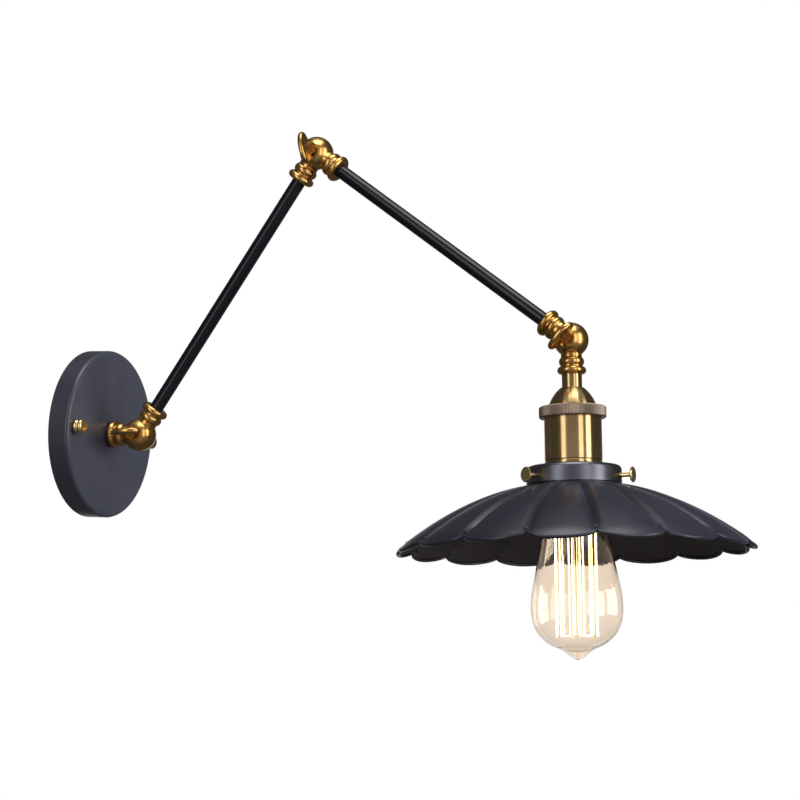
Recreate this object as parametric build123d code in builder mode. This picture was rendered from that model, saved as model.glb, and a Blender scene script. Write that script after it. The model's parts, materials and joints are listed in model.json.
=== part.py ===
"""Folding wall lamp: two tubes on three clamped ball knuckles, with an umbrella shade and a pear bulb.

The frame has its origin at the centre of the wall plate's back, +X out of the wall and +Z up.
The arms fold in the XZ plane, and every knuckle turns about an axis along Y.
"""
import os
from math import cos, pi, radians, sin, tan

from build123d import *

# Pose: angles above the horizontal in the plane of the arms, and the lamp head's lean from straight down
lower_arm_angle = 57.5
upper_arm_angle = -34.1
head_lean = 4.2

# Clearances
fit_gap = 0.05
running_gap = 0.3

# Wall plate
plate_d = 126
plate_depth = 17
plate_wall = 1.2
plate_edge_r = 3

# Crossbar behind the plate, with slots for the wall screws and a lug for the terminal block
crossbar_length = 118
crossbar_width = 16
crossbar_thickness = 2
wall_screw_pitch = 70
wall_slot_length = 16
wall_slot_width = 5
lead_hole_d = 9
lug_width = 24
lug_reach = 36
stud_pitch = 106
stud_d = 4
earth_screw_y = -18
earth_screw_d = 4
earth_head_d = 7.5
earth_head_height = 2.4

# Turned cap nut
cap_nut_d = 11
cap_nut_length = 7.5
cap_nut_groove_d = 9.2
stud_in_nut = 5

# Terminal block and the leads from it
block_width = 22
block_height = 16
block_depth = 10
block_top_z = -17
block_corner_r = 1.5
port_pitch = 6
port_d = 2.6
port_depth = 5
terminal_screw_d = 3.6
terminal_screw_height = 0.8
block_screw_d = 3
block_screw_head_d = 5.4
lead_d = 2
lead_row = 2.1
lead_bend_r = 5
lead_x = 6
lead_rise = 4

# Lamp pipe thread used for the tubes and nipples, the flex in it, and its nuts
pipe_d = 10.3
tube_wall = 1.0
nipple_bore_d = 7.0
flex_d = 6.4
lock_nut_flats = 13
lock_nut_height = 4
lock_washer_d = 18
lock_washer_thickness = 1
nipple_end = 1.5

# Knuckle: a split ball with a turned neck on each half
ball_r = 12.4
neck_r = 7.4
bead_start = 12.4
bead_length = 5.8
bead_r = 8.9
waist_r = 7.8
waist_length = 0.7
flange_length = 5.6
flange_r = 10.2
pipe_seat = 10
pocket_r = 9
pocket_depth = 5
boss_r = 5.4
seam_depth = 0.2
seam_width = 0.8
arm_pitch = 250

# Wing screw
pivot_d = 6
pivot_thread_depth = 9
pivot_end_gap = 0.5
spot_face_r = 6.2
spot_face_height = 8.6
wing_washer_d = 11
wing_washer_thickness = 0.8
collar_r = 4.6
collar_length = 5.5
wing_width = 24
wing_outer = 29
wing_height = 15.4
wing_thickness = 3.8
wing_edge_r = 1.6
wall_wing_angle = 4
elbow_wing_angle = 104
head_wing_angle = 49

# Lamp holder, measured along the head's axis from the knuckle's centre
stem_d = 14.2
stem_length = 9.6
cap_top_r = 8.4
cap_base_r = 17.3
cap_height = 14.4
cap_bulge = 1.6
cap_wall = 1.2
cap_flange_r = 20.1
socket_ring_r = 23.6
socket_ring_height = 8
socket_ring_lip = 1.1
socket_ring_chamfer = 0.8
shell_r = 20.2
shell_wall = 0.8
shell_length = 39.5
shell_lip_r = 17.0
shell_lip_height = 2
shell_bead_height = 4.2
shell_bead_groove = 0.6
insert_top_length = 20.5
insert_top_r = 15
insert_flange_r = 19.3
insert_flange_height = 4
insert_skirt_r = 16.8
insert_skirt_length = 21.5
screw_shell_length = 21
screw_shell_wall = 0.5
screw_shell_top = 1.4
mouth_depth = 3.4
contact_d = 10
contact_thickness = 0.6
socket_lead_pitch = 16
terminal_d = 5
terminal_height = 2
head_flex_end = 44.5

# Shade gallery, its ring nut and thumb screws
gallery_r = 33.3
gallery_height = 12.6
gallery_wall = 1.2
gallery_edge_r = 3
ring_nut_r = 22
ring_nut_height = 5
thumb_d = 3
thumb_drop = 8
thumb_length = 10.5
thumb_flare = 1.8
thumb_head_d = 10.8
thumb_head_thickness = 1.5
thumb_neck_d = 7.2
thumb_edge = 0.4
thumb_count = 3

# Shade: petals between radial creases, a collar inside the gallery and a hem along the scallops
petal_count = 16
petal_phase = 4
collar_outer_r = 31.2
collar_height = 8
sheet = 0.9
shade_drop = 1.0
petal_bulge = 0.06
groove_width = 2.4
groove_depth = 1.6
tip_r = 124.6
cusp_r = 119
hem_width = 2.6
hem_height = 2.8
petal_inner_r = 33.6
petal_slope = 0.170
petal_rise = 0.00337
petal_turn_r = 116
petal_turn = 0.021
petal_sections = 8

# Bulb: a pear envelope on an E27 cap
bulb_length = 140
bulb_r = 32
glass_wall = 0.8
e27_r = 13.1
e27_root_r = 12.2
e27_pitch = 3.63
thread_turns = 5
thread_foot = 0.4
thread_crest = 0.15
cap_sheet = 0.5
cap_length = 26.2
insulator_length = 3.8
insulator_top_r = 6.5
end_contact_r = 4.8
end_contact_thickness = 1.0
contact_gap = 0.1
neck_glass_r = 11.4
neck_glass_seat = 3.5
neck_flare = 4
neck_flare_length = 3
belly_height = 33
# The outline above and below the belly, as shares of the way along it and of its radius
upper_outline = [(0.4, 0.65), (0.75, 0.915)]
lower_outline = [(0.36, 0.91), (0.6, 0.715), (0.74, 0.48), (0.81, 0.31), (0.9, 0.2)]
tip_glass_share = 2

# Filament on its glass stem
strand_count = 12
strand_ring_r = 14.5
strand_top = 52
strand_bottom = 124
strand_d = 0.8
support_d = 0.7
stem_rod_d = 4
stem_foot_height = 1
stem_cone_height = 7
stem_pinch_height = 8
stem_step = 2

os.makedirs("parts", exist_ok=True)
pieces = {}


# Shared frames and helpers

toward_screws = (0, -1, 0)


def direction(angle):
    """Give the unit vector at an angle above +X in the plane of the arms."""
    return Vector(cos(radians(angle)), 0, sin(radians(angle)))


def side_frame(origin, along):
    """Give the plane whose x axis runs along a turned piece and whose z axis faces the wing screws."""
    return Plane(origin=origin, x_dir=along, z_dir=toward_screws)


def turned(frame, points):
    """Turn an outline of (along, radius) points about the frame's own x axis."""
    with BuildPart() as piece:
        with BuildSketch(frame):
            with BuildLine():
                Polyline(*points, close=True)
            make_face()
        revolve(axis=Axis(frame.origin, frame.x_dir))
    return piece.part


def sleeve(frame, start, end, outer_r, inner_r=0):
    """Turn a plain tube or bar between two stations of the frame."""
    return turned(frame, [(start, inner_r), (start, outer_r), (end, outer_r), (end, inner_r)])


def wire(points, bend_r, diameter):
    """Sweep a round wire along straight runs joined by tangent arcs."""
    with BuildPart() as piece:
        with BuildLine() as route:
            FilletPolyline(*points, radius=bend_r)
        with BuildSketch(Plane(origin=route.line @ 0, z_dir=route.line % 0)):
            Circle(diameter / 2)
        sweep()
    return piece.part


def rod(start, end, diameter):
    """Make a straight round rod between two points."""
    with BuildPart() as piece:
        with BuildSketch(Plane(origin=start, z_dir=end - start)):
            Circle(diameter / 2)
        extrude(amount=(end - start).length)
    return piece.part


def hex_nut(frame, start, height, flats, bore_d):
    """Make a plain hexagon nut along the frame's x axis."""
    with BuildPart() as nut:
        with BuildSketch(Plane(origin=frame.origin, z_dir=frame.x_dir).offset(start)):
            RegularPolygon(radius=flats / 2, side_count=6, major_radius=False)
            Circle(bore_d / 2, mode=Mode.SUBTRACT)
        extrude(amount=height)
    return nut.part


knuckle_reach = bead_start + bead_length + waist_length + flange_length
pipe_bore_r = pipe_d / 2 + fit_gap
flex_bore_r = flex_d / 2 + running_gap
flex_start = ball_r + 2 * running_gap
pipe_start = knuckle_reach - pipe_seat

wall_frame = side_frame((0, 0, 0), (1, 0, 0))
wall_joint = Vector(plate_depth + knuckle_reach, 0, 0)
lower_arm = direction(lower_arm_angle)
elbow_joint = wall_joint + lower_arm * arm_pitch
upper_arm = direction(upper_arm_angle)
head_joint = elbow_joint + upper_arm * arm_pitch
down = direction(head_lean - 90)
head_frame = side_frame(head_joint, down)


# Wall plate and what holds it to the wall

with BuildPart() as wall_plate:
    with BuildSketch(Plane.YZ):
        Circle(plate_d / 2)
    extrude(amount=plate_depth)
    fillet(wall_plate.faces().sort_by(Axis.X)[-1].edges(), plate_edge_r)
    offset(amount=-plate_wall, openings=wall_plate.faces().sort_by(Axis.X)[0])
    with BuildSketch(Plane.YZ.offset(plate_depth)):
        Circle(pipe_bore_r)
        with GridLocations(stud_pitch, 0, 2, 1):
            Circle(stud_d / 2 + running_gap)
    extrude(amount=-2 * plate_wall, mode=Mode.SUBTRACT)
pieces["wall_plate"] = wall_plate.part

block_middle_z = block_top_z - block_height / 2
with BuildPart() as mounting_crossbar:
    with BuildSketch(Plane.YZ):
        SlotOverall(crossbar_length, crossbar_width)
        with Locations((0, -lug_reach / 2)):
            Rectangle(lug_width, lug_reach)
        Circle(lead_hole_d / 2, mode=Mode.SUBTRACT)
        with GridLocations(wall_screw_pitch, 0, 2, 1):
            SlotOverall(wall_slot_length, wall_slot_width, mode=Mode.SUBTRACT)
        with GridLocations(stud_pitch, 0, 2, 1):
            Circle(stud_d / 2, mode=Mode.SUBTRACT)
        with Locations((earth_screw_y, 0)):
            Circle(earth_screw_d / 2, mode=Mode.SUBTRACT)
        with Locations((0, block_middle_z)):
            Circle(block_screw_d / 2, mode=Mode.SUBTRACT)
    extrude(amount=crossbar_thickness)
pieces["mounting_crossbar"] = mounting_crossbar.part

with BuildPart() as mounting_studs:
    with BuildSketch(Plane.YZ):
        with GridLocations(stud_pitch, 0, 2, 1):
            Circle(stud_d / 2)
    extrude(amount=plate_depth + stud_in_nut)
pieces["mounting_studs"] = mounting_studs.part

nut_base = plate_depth
nut_middle = nut_base + cap_nut_length / 2
nut_end = nut_base + cap_nut_length
nut_bore_r = stud_d / 2 + fit_gap
nut_quarter = cap_nut_length / 4
with BuildPart() as cap_nut:
    with BuildSketch(wall_frame):
        with BuildLine():
            Polyline((nut_base + stud_in_nut, 0), (nut_base + stud_in_nut, nut_bore_r),
                     (nut_base, nut_bore_r), (nut_base, cap_nut_groove_d / 2))
            ThreePointArc((nut_base, cap_nut_groove_d / 2), (nut_base + nut_quarter, cap_nut_d / 2),
                          (nut_middle, cap_nut_groove_d / 2))
            ThreePointArc((nut_middle, cap_nut_groove_d / 2), (nut_end - nut_quarter, cap_nut_d / 2),
                          (nut_end, cap_nut_groove_d / 2 - nut_quarter))
            Polyline((nut_end, cap_nut_groove_d / 2 - nut_quarter), (nut_end, 0),
                     (nut_base + stud_in_nut, 0))
        make_face()
    revolve(axis=Axis.X)
with BuildPart() as cap_nuts:
    with Locations((0, -stud_pitch / 2, 0), (0, stud_pitch / 2, 0)):
        add(cap_nut.part)
pieces["cap_nuts"] = cap_nuts.part

washer_front = plate_depth - plate_wall
nut_front = washer_front - lock_washer_thickness
nipple_back = nut_front - lock_nut_height - nipple_end
pieces["wall_nipple"] = sleeve(wall_frame, nipple_back, plate_depth + pipe_seat, pipe_d / 2,
                               nipple_bore_d / 2)
pieces["wall_lock_washer"] = sleeve(wall_frame, nut_front, washer_front, lock_washer_d / 2, pipe_bore_r)
pieces["wall_lock_nut"] = hex_nut(wall_frame, nut_front - lock_nut_height, lock_nut_height, lock_nut_flats,
                                  2 * pipe_bore_r)

block_front = crossbar_thickness + block_depth
port_offsets = [-port_pitch, 0, port_pitch]
with BuildPart() as terminal_block:
    with BuildSketch(Plane.YZ.offset(crossbar_thickness)):
        with Locations((0, block_middle_z)):
            RectangleRounded(block_width, block_height, block_corner_r)
            Circle(block_screw_d / 2, mode=Mode.SUBTRACT)
    extrude(amount=block_depth)
    with BuildSketch(Plane.XY.offset(block_top_z)):
        with Locations(*[(lead_x, y) for y in port_offsets]):
            Circle(port_d / 2)
    extrude(amount=-port_depth, mode=Mode.SUBTRACT)
    with BuildSketch(Plane.XY.offset(block_top_z - block_height)):
        with Locations(*[(lead_x, y) for y in port_offsets]):
            Circle(port_d / 2)
    extrude(amount=port_depth, mode=Mode.SUBTRACT)
pieces["terminal_block"] = terminal_block.part

with BuildPart() as terminal_screws:
    with BuildSketch(Plane.YZ.offset(block_front)):
        for y in port_offsets:
            for z in (block_top_z - port_depth / 2, block_top_z - block_height + port_depth / 2):
                with Locations((y, z)):
                    Circle(terminal_screw_d / 2)
    extrude(amount=terminal_screw_height)
pieces["terminal_screws"] = terminal_screws.part

with BuildPart() as terminal_block_screw:
    with BuildSketch(Plane.YZ):
        with Locations((0, block_middle_z)):
            Circle(block_screw_d / 2)
    extrude(amount=block_front)
    with BuildSketch(Plane.YZ.offset(block_front)):
        with Locations((0, block_middle_z)):
            Circle(block_screw_head_d / 2)
    extrude(amount=terminal_screw_height)
pieces["terminal_block_screw"] = terminal_block_screw.part

with BuildPart() as earth_screw:
    with BuildSketch(Plane.YZ):
        with Locations((earth_screw_y, 0)):
            Circle(earth_screw_d / 2)
    extrude(amount=crossbar_thickness)
    with BuildSketch(Plane.YZ.offset(crossbar_thickness)):
        with Locations((earth_screw_y, 0)):
            Circle(earth_head_d / 2)
    extrude(amount=earth_head_height)
pieces["earth_screw"] = earth_screw.part

with BuildPart() as mains_leads:
    for y, row in zip(port_offsets, (-lead_row, 0, lead_row)):
        slant = [(lead_x, y, block_top_z + lead_rise)] if y != row else []
        add(wire([(lead_x, y, block_top_z - port_depth), *slant, (lead_x, row, 0),
                  (plate_depth + pipe_seat / 2, row, 0)], lead_bend_r, lead_d))
pieces["mains_leads"] = mains_leads.part


# Knuckles

def knuckle_half(joint, along, side):
    """Make half a knuckle with its neck along a direction.

    side is 1 for the half under the wing screw's collar, and -1 for the half that the screw threads into.
    """
    frame = side_frame(joint, along)
    bead_end = bead_start + bead_length
    flange_start = bead_end + waist_length
    bore_start = (boss_r + pocket_r) / 2
    own_half = (0, 90) if side > 0 else (-90, 0)
    other_half = (-90, 0) if side > 0 else (0, 90)
    with BuildPart(frame) as half:
        with BuildSketch(frame):
            with BuildLine():
                Polyline((knuckle_reach, waist_r), (knuckle_reach, 0), (0, 0), (0, neck_r),
                         (bead_start, neck_r))
                ThreePointArc((bead_start, neck_r), (bead_start + bead_length / 2, bead_r),
                              (bead_end, waist_r))
                Line((bead_end, waist_r), (flange_start, waist_r))
                ThreePointArc((flange_start, waist_r), (flange_start + flange_length / 2, flange_r),
                              (knuckle_reach, waist_r))
            make_face()
        revolve(axis=Axis(frame.origin, frame.x_dir))
        Sphere(ball_r + running_gap, arc_size1=other_half[0], arc_size2=other_half[1], align=None,
               mode=Mode.SUBTRACT)
        Sphere(ball_r, arc_size1=own_half[0], arc_size2=own_half[1], align=None)
        with BuildSketch(frame):
            Circle(pocket_r)
            Circle(boss_r, mode=Mode.SUBTRACT)
        extrude(amount=side * pocket_depth, mode=Mode.SUBTRACT)
        with BuildSketch(frame):
            Circle(ball_r + running_gap)
            Circle(ball_r - seam_width, mode=Mode.SUBTRACT)
        extrude(amount=side * seam_depth, mode=Mode.SUBTRACT)
        with BuildSketch(frame):
            with BuildLine():
                Polyline((bore_start, 0), (bore_start, flex_bore_r), (pipe_start, flex_bore_r),
                         (pipe_start, pipe_bore_r), (knuckle_reach, pipe_bore_r), (knuckle_reach, 0),
                         close=True)
            make_face()
        revolve(axis=Axis(frame.origin, frame.x_dir), mode=Mode.SUBTRACT)
        with BuildSketch(frame):
            Circle(pivot_d / 2 + fit_gap)
        extrude(amount=ball_r if side > 0 else -pivot_thread_depth, mode=Mode.SUBTRACT)
        if side > 0:
            with BuildSketch(frame.offset(spot_face_height)):
                Circle(spot_face_r)
            extrude(amount=ball_r, mode=Mode.SUBTRACT)
    return half.part


pieces["wall_knuckle"] = knuckle_half(wall_joint, Vector(-1, 0, 0), -1)
pieces["lower_arm_knuckle"] = knuckle_half(wall_joint, lower_arm, 1)
pieces["elbow_lower_knuckle"] = knuckle_half(elbow_joint, -lower_arm, -1)
pieces["elbow_upper_knuckle"] = knuckle_half(elbow_joint, upper_arm, 1)
pieces["head_upper_knuckle"] = knuckle_half(head_joint, -upper_arm, -1)
pieces["head_knuckle"] = knuckle_half(head_joint, down, 1)


# Tubes and the flex inside them

for name, joint, along in (("lower_arm", wall_joint, lower_arm), ("upper_arm", elbow_joint, upper_arm)):
    frame = side_frame(joint, along)
    pieces[name + "_tube"] = sleeve(frame, pipe_start, arm_pitch - pipe_start, pipe_d / 2,
                                    pipe_d / 2 - tube_wall)
    pieces[name + "_flex"] = sleeve(frame, flex_start, arm_pitch - flex_start, flex_d / 2)


# Wing screws and their washers

collar_start = spot_face_height + wing_washer_thickness
collar_end = collar_start + collar_length
pivot_end = pivot_end_gap - pivot_thread_depth


def screw_side(joint):
    """Give the plane whose x axis runs along a wing screw, out of the ball."""
    return Plane(origin=joint, x_dir=toward_screws, z_dir=(1, 0, 0))


def wing_screw(joint, angle):
    """Make a wing screw whose flat wing lies along an angle above +X."""
    wing_plane = Plane(origin=joint, x_dir=direction(angle), z_dir=direction(angle - 90))
    screw_frame = screw_side(joint)
    with BuildPart() as wing:
        with BuildSketch(wing_plane):
            with Locations((0, wing_outer - wing_height / 2)):
                Ellipse(wing_width / 2, wing_height / 2)
        extrude(amount=wing_thickness / 2, both=True)
        across = Axis(wing_plane.origin, wing_plane.z_dir)
        flats = wing.faces().sort_by(across)
        fillet(flats[0].edges() + flats[-1].edges(), wing_edge_r)
    with BuildPart() as screw:
        add(wing.part)
        add(turned(screw_frame, [(pivot_end, 0), (pivot_end, pivot_d / 2), (collar_start, pivot_d / 2),
                                 (collar_start, collar_r), (collar_end, collar_r), (collar_end, 0)]))
    return screw.part


for name, joint, angle in (("wall", wall_joint, wall_wing_angle), ("elbow", elbow_joint, elbow_wing_angle),
                           ("head", head_joint, head_wing_angle)):
    pieces[name + "_wing_screw"] = wing_screw(joint, angle)
    pieces[name + "_wing_washer"] = sleeve(screw_side(joint), spot_face_height, collar_start,
                                           wing_washer_d / 2, pivot_d / 2 + fit_gap)


# Lamp holder

stem_start = knuckle_reach
cap_start = stem_start + stem_length
cap_end = cap_start + cap_height
ring_start = cap_end - socket_ring_lip
shell_start = cap_end + cap_wall
shell_end = shell_start + shell_length
nipple_stop = cap_start + cap_wall + lock_nut_height + nipple_end

pieces["head_nipple"] = sleeve(head_frame, pipe_start, nipple_stop, pipe_d / 2, nipple_bore_d / 2)
pieces["head_stem"] = sleeve(head_frame, stem_start, cap_start, stem_d / 2, pipe_bore_r)
pieces["socket_nut"] = hex_nut(head_frame, cap_start + cap_wall, lock_nut_height, lock_nut_flats,
                               2 * pipe_bore_r)

cap_middle = (cap_start + cap_height / 2, (cap_top_r + cap_base_r) / 2 + cap_bulge)
cap_inner_middle = (cap_middle[0] + cap_wall * sin(pi / 4), cap_middle[1] - cap_wall * sin(pi / 4))
cap_inner_top_r = cap_top_r - cap_wall / 2
with BuildPart() as socket_cap:
    with BuildSketch(head_frame):
        with BuildLine():
            Polyline((cap_start + cap_wall, cap_inner_top_r), (cap_start + cap_wall, pipe_bore_r),
                     (cap_start, pipe_bore_r), (cap_start, cap_top_r))
            ThreePointArc((cap_start, cap_top_r), cap_middle, (cap_end, cap_base_r))
            Polyline((cap_end, cap_base_r), (cap_end, cap_flange_r), (shell_start, cap_flange_r),
                     (shell_start, cap_base_r - cap_wall), (cap_end, cap_base_r - cap_wall))
            ThreePointArc((cap_end, cap_base_r - cap_wall), cap_inner_middle,
                          (cap_start + cap_wall, cap_inner_top_r))
        make_face()
    revolve(axis=Axis(head_frame.origin, head_frame.x_dir))
pieces["socket_cap"] = socket_cap.part

ring_end = ring_start + socket_ring_height
pieces["socket_ring"] = turned(head_frame, [
    (ring_start, cap_base_r + running_gap), (ring_start, socket_ring_r - socket_ring_chamfer),
    (ring_start + socket_ring_chamfer, socket_ring_r), (ring_end - socket_ring_chamfer, socket_ring_r),
    (ring_end, socket_ring_r - socket_ring_chamfer), (ring_end, shell_r + fit_gap),
    (cap_end, shell_r + fit_gap), (cap_end, cap_base_r + running_gap)])

shell_bead_top = shell_end - shell_bead_height
shell_inner_r = shell_r - shell_wall
shell_groove_r = shell_r - shell_bead_groove
shell_lip_top = shell_end - shell_lip_height
with BuildPart() as socket_shell:
    with BuildSketch(head_frame):
        with BuildLine():
            Polyline((shell_end, shell_groove_r), (shell_end, shell_lip_r), (shell_lip_top, shell_lip_r),
                     (shell_lip_top, shell_inner_r), (shell_start, shell_inner_r), (shell_start, shell_r),
                     (shell_bead_top, shell_r), (shell_bead_top, shell_groove_r))
            ThreePointArc((shell_bead_top, shell_groove_r), (shell_end - shell_bead_height / 2, shell_r),
                          (shell_end, shell_groove_r))
        make_face()
    revolve(axis=Axis(head_frame.origin, head_frame.x_dir))
pieces["socket_shell"] = socket_shell.part

flange_end = shell_lip_top
insert_flange_start = flange_end - insert_flange_height
insert_start = insert_flange_start - insert_top_length
skirt_end = flange_end + insert_skirt_length
floor = skirt_end - mouth_depth - screw_shell_length - screw_shell_top
screw_shell_inner_r = e27_r + running_gap
screw_shell_outer_r = screw_shell_inner_r + screw_shell_wall
with BuildPart() as socket_insert:
    with BuildSketch(head_frame):
        with BuildLine():
            Polyline((insert_start, 0), (insert_start, insert_top_r), (insert_flange_start, insert_top_r),
                     (insert_flange_start, insert_flange_r), (flange_end, insert_flange_r),
                     (flange_end, insert_skirt_r), (skirt_end, insert_skirt_r),
                     (skirt_end, screw_shell_outer_r + fit_gap), (floor, screw_shell_outer_r + fit_gap),
                     (floor, 0), close=True)
        make_face()
    revolve(axis=Axis(head_frame.origin, head_frame.x_dir))
pieces["socket_insert"] = socket_insert.part

screw_shell_start = floor + screw_shell_top
pieces["screw_shell"] = sleeve(head_frame, screw_shell_start, screw_shell_start + screw_shell_length,
                               screw_shell_outer_r, screw_shell_inner_r)
pieces["centre_contact"] = sleeve(head_frame, floor, floor + contact_thickness, contact_d / 2)
pieces["head_flex"] = sleeve(head_frame, flex_start, head_flex_end, flex_d / 2)


def head_point(along, radius, angle):
    """Give the point at a station on the head's axis, a radius and an angle from the outward side."""
    outward = direction(head_lean)
    radial = outward * cos(radians(angle)) + Vector(0, 1, 0) * sin(radians(angle))
    return head_joint + down * along + radial * radius


terminal_start = insert_start - terminal_height
with BuildPart() as socket_terminals:
    with BuildSketch(Plane(origin=head_point(terminal_start, 0, 0), x_dir=(0, 1, 0), z_dir=down)):
        with GridLocations(socket_lead_pitch, 0, 2, 1):
            Circle(terminal_d / 2)
    extrude(amount=terminal_height)
pieces["socket_terminals"] = socket_terminals.part

lead_split = lead_d / 2 + fit_gap
lead_run = (terminal_start - head_flex_end) / 3
with BuildPart() as socket_leads:
    for angle in (90, -90):
        stations = [(head_flex_end, lead_split), (head_flex_end + lead_run, lead_split),
                    (terminal_start - lead_run, socket_lead_pitch / 2),
                    (terminal_start, socket_lead_pitch / 2)]
        add(wire([head_point(along, radius, angle) for along, radius in stations], lead_d, lead_d))
pieces["socket_leads"] = socket_leads.part


# Gallery, ring nut and thumb screws

gallery_end = shell_end + gallery_height
gallery_inner_r = gallery_r - gallery_wall
thumb_station = shell_end + thumb_drop
with BuildPart() as shade_gallery:
    with BuildSketch(head_frame):
        with BuildLine():
            Polyline((shell_end + gallery_edge_r, gallery_r), (gallery_end, gallery_r),
                     (gallery_end, gallery_inner_r), (shell_end + gallery_edge_r, gallery_inner_r))
            ThreePointArc((shell_end + gallery_edge_r, gallery_inner_r),
                          (shell_end + gallery_edge_r - (gallery_edge_r - gallery_wall) * sin(pi / 4),
                           gallery_r - gallery_edge_r + (gallery_edge_r - gallery_wall) * cos(pi / 4)),
                          (shell_end + gallery_wall, gallery_r - gallery_edge_r))
            Polyline((shell_end + gallery_wall, gallery_r - gallery_edge_r),
                     (shell_end + gallery_wall, insert_skirt_r + running_gap),
                     (shell_end, insert_skirt_r + running_gap), (shell_end, gallery_r - gallery_edge_r))
            ThreePointArc((shell_end, gallery_r - gallery_edge_r),
                          (shell_end + gallery_edge_r * (1 - sin(pi / 4)),
                           gallery_r - gallery_edge_r * (1 - cos(pi / 4))),
                          (shell_end + gallery_edge_r, gallery_r))
        make_face()
    revolve(axis=Axis(head_frame.origin, head_frame.x_dir))
    for turn in range(thumb_count):
        radial = head_point(0, 1, turn * 360 / thumb_count) - head_joint
        with BuildSketch(Plane(origin=head_point(thumb_station, 0, 0), z_dir=radial)):
            Circle(thumb_d / 2 + fit_gap)
        extrude(amount=gallery_r + gallery_wall, mode=Mode.SUBTRACT)
pieces["shade_gallery"] = shade_gallery.part

ring_nut_start = shell_end + gallery_wall
pieces["shade_ring_nut"] = sleeve(head_frame, ring_nut_start, ring_nut_start + ring_nut_height, ring_nut_r,
                                  insert_skirt_r + fit_gap)

for turn in range(thumb_count):
    radial = head_point(0, 1, turn * 360 / thumb_count) - head_joint
    screw_frame = Plane(origin=head_point(thumb_station, 0, 0), x_dir=radial, z_dir=down)
    thumb_end = gallery_r + thumb_length
    head_start = thumb_end - thumb_head_thickness
    pieces[f"gallery_screw_{turn + 1}"] = turned(screw_frame, [
        (collar_outer_r, 0), (collar_outer_r, thumb_d / 2), (head_start - thumb_flare, thumb_d / 2),
        (head_start, thumb_neck_d / 2), (head_start, thumb_head_d / 2 - thumb_edge),
        (head_start + thumb_edge, thumb_head_d / 2), (thumb_end - thumb_edge, thumb_head_d / 2),
        (thumb_end, thumb_head_d / 2 - thumb_edge), (thumb_end, 0)])


# Shade

shoulder = gallery_end + shade_drop
half_petal = radians(180 / petal_count)


def crown_drop(radius):
    """Give how far the petals' crown lies below the shade's shoulder at a radius."""
    run = radius - petal_inner_r
    turned_down = max(radius - petal_turn_r, 0)
    return petal_slope * run + petal_rise * run ** 2 + petal_turn * turned_down ** 2


def petal_loft(top_offset, depth):
    """Loft one petal through curved strips across it, from its inner end to past its tip."""
    outward = head_point(0, 1, petal_phase + 180 / petal_count) - head_joint
    across = down.cross(outward)
    span = tip_r + hem_width - petal_inner_r
    with BuildPart() as petal:
        for step in range(petal_sections):
            radius = petal_inner_r + span * step / (petal_sections - 1)
            half_width = radius * tan(half_petal)
            crown = shoulder + crown_drop(radius) + top_offset
            lip_x = half_width - groove_width
            lip = crown + petal_bulge * half_width
            crease = lip + groove_depth
            with BuildSketch(Plane(origin=head_joint + outward * radius, x_dir=across, z_dir=outward)):
                with BuildLine():
                    Line((-half_width, crease), (-lip_x, lip))
                    ThreePointArc((-lip_x, lip), (0, crown), (lip_x, lip))
                    Polyline((lip_x, lip), (half_width, crease), (half_width, crease + depth),
                             (lip_x, lip + depth))
                    ThreePointArc((lip_x, lip + depth), (0, crown + depth), (-lip_x, lip + depth))
                    Polyline((-lip_x, lip + depth), (-half_width, crease + depth), (-half_width, crease))
                make_face()
        loft()
    return petal.part


def scallop(inset):
    """Make a tall prism whose plan is one petal's sector, ended by its scallop less an inset."""
    outward = head_point(0, 1, petal_phase + 180 / petal_count) - head_joint
    cusp = cusp_r - inset
    corner = (cusp * cos(half_petal), cusp * sin(half_petal))
    with BuildPart() as prism:
        with BuildSketch(Plane(origin=head_point(shoulder - tip_r, 0, 0), x_dir=outward, z_dir=down)):
            with BuildLine():
                Polyline((corner[0], -corner[1]), (0, 0), corner)
                ThreePointArc(corner, (tip_r - inset, 0), (corner[0], -corner[1]))
            make_face()
        extrude(amount=3 * tip_r)
    return prism.part


with BuildPart() as petal:
    add(petal_loft(0, sheet))
    add(scallop(0), mode=Mode.INTERSECT)
with BuildPart() as hem:
    add(petal_loft(-sheet / 3, hem_height))
    add(scallop(0), mode=Mode.INTERSECT)
    add(scallop(hem_width), mode=Mode.SUBTRACT)

shade_collar_top = gallery_end - collar_height
crease_seat = petal_inner_r / cos(half_petal)
collar_part = turned(head_frame, [
    (shade_collar_top, collar_outer_r - sheet), (shade_collar_top, collar_outer_r),
    (shoulder, collar_outer_r), (shoulder, crease_seat + sheet), (shoulder + 2 * sheet, crease_seat + sheet),
    (shoulder + 2 * sheet, collar_outer_r - sheet)])
with BuildPart() as shade:
    add(collar_part)
    for turn in range(petal_count):
        add([body.part.rotate(Axis(head_joint, down), turn * 360 / petal_count) for body in (petal, hem)])
pieces["shade"] = shade.part


# Bulb

bulb_start = floor + contact_thickness + contact_gap
insulator_start = bulb_start + end_contact_thickness
cap_shell_start = insulator_start + insulator_length
cap_shell_end = bulb_start + cap_length
bulb_end = bulb_start + bulb_length

pieces["bulb_contact"] = sleeve(head_frame, bulb_start, insulator_start, end_contact_r)
pieces["bulb_cap_insulator"] = turned(head_frame, [
    (insulator_start, 0), (insulator_start, insulator_top_r), (cap_shell_start, e27_root_r - cap_sheet),
    (cap_shell_start + cap_sheet, e27_root_r - cap_sheet), (cap_shell_start + cap_sheet, 0)])

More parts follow.
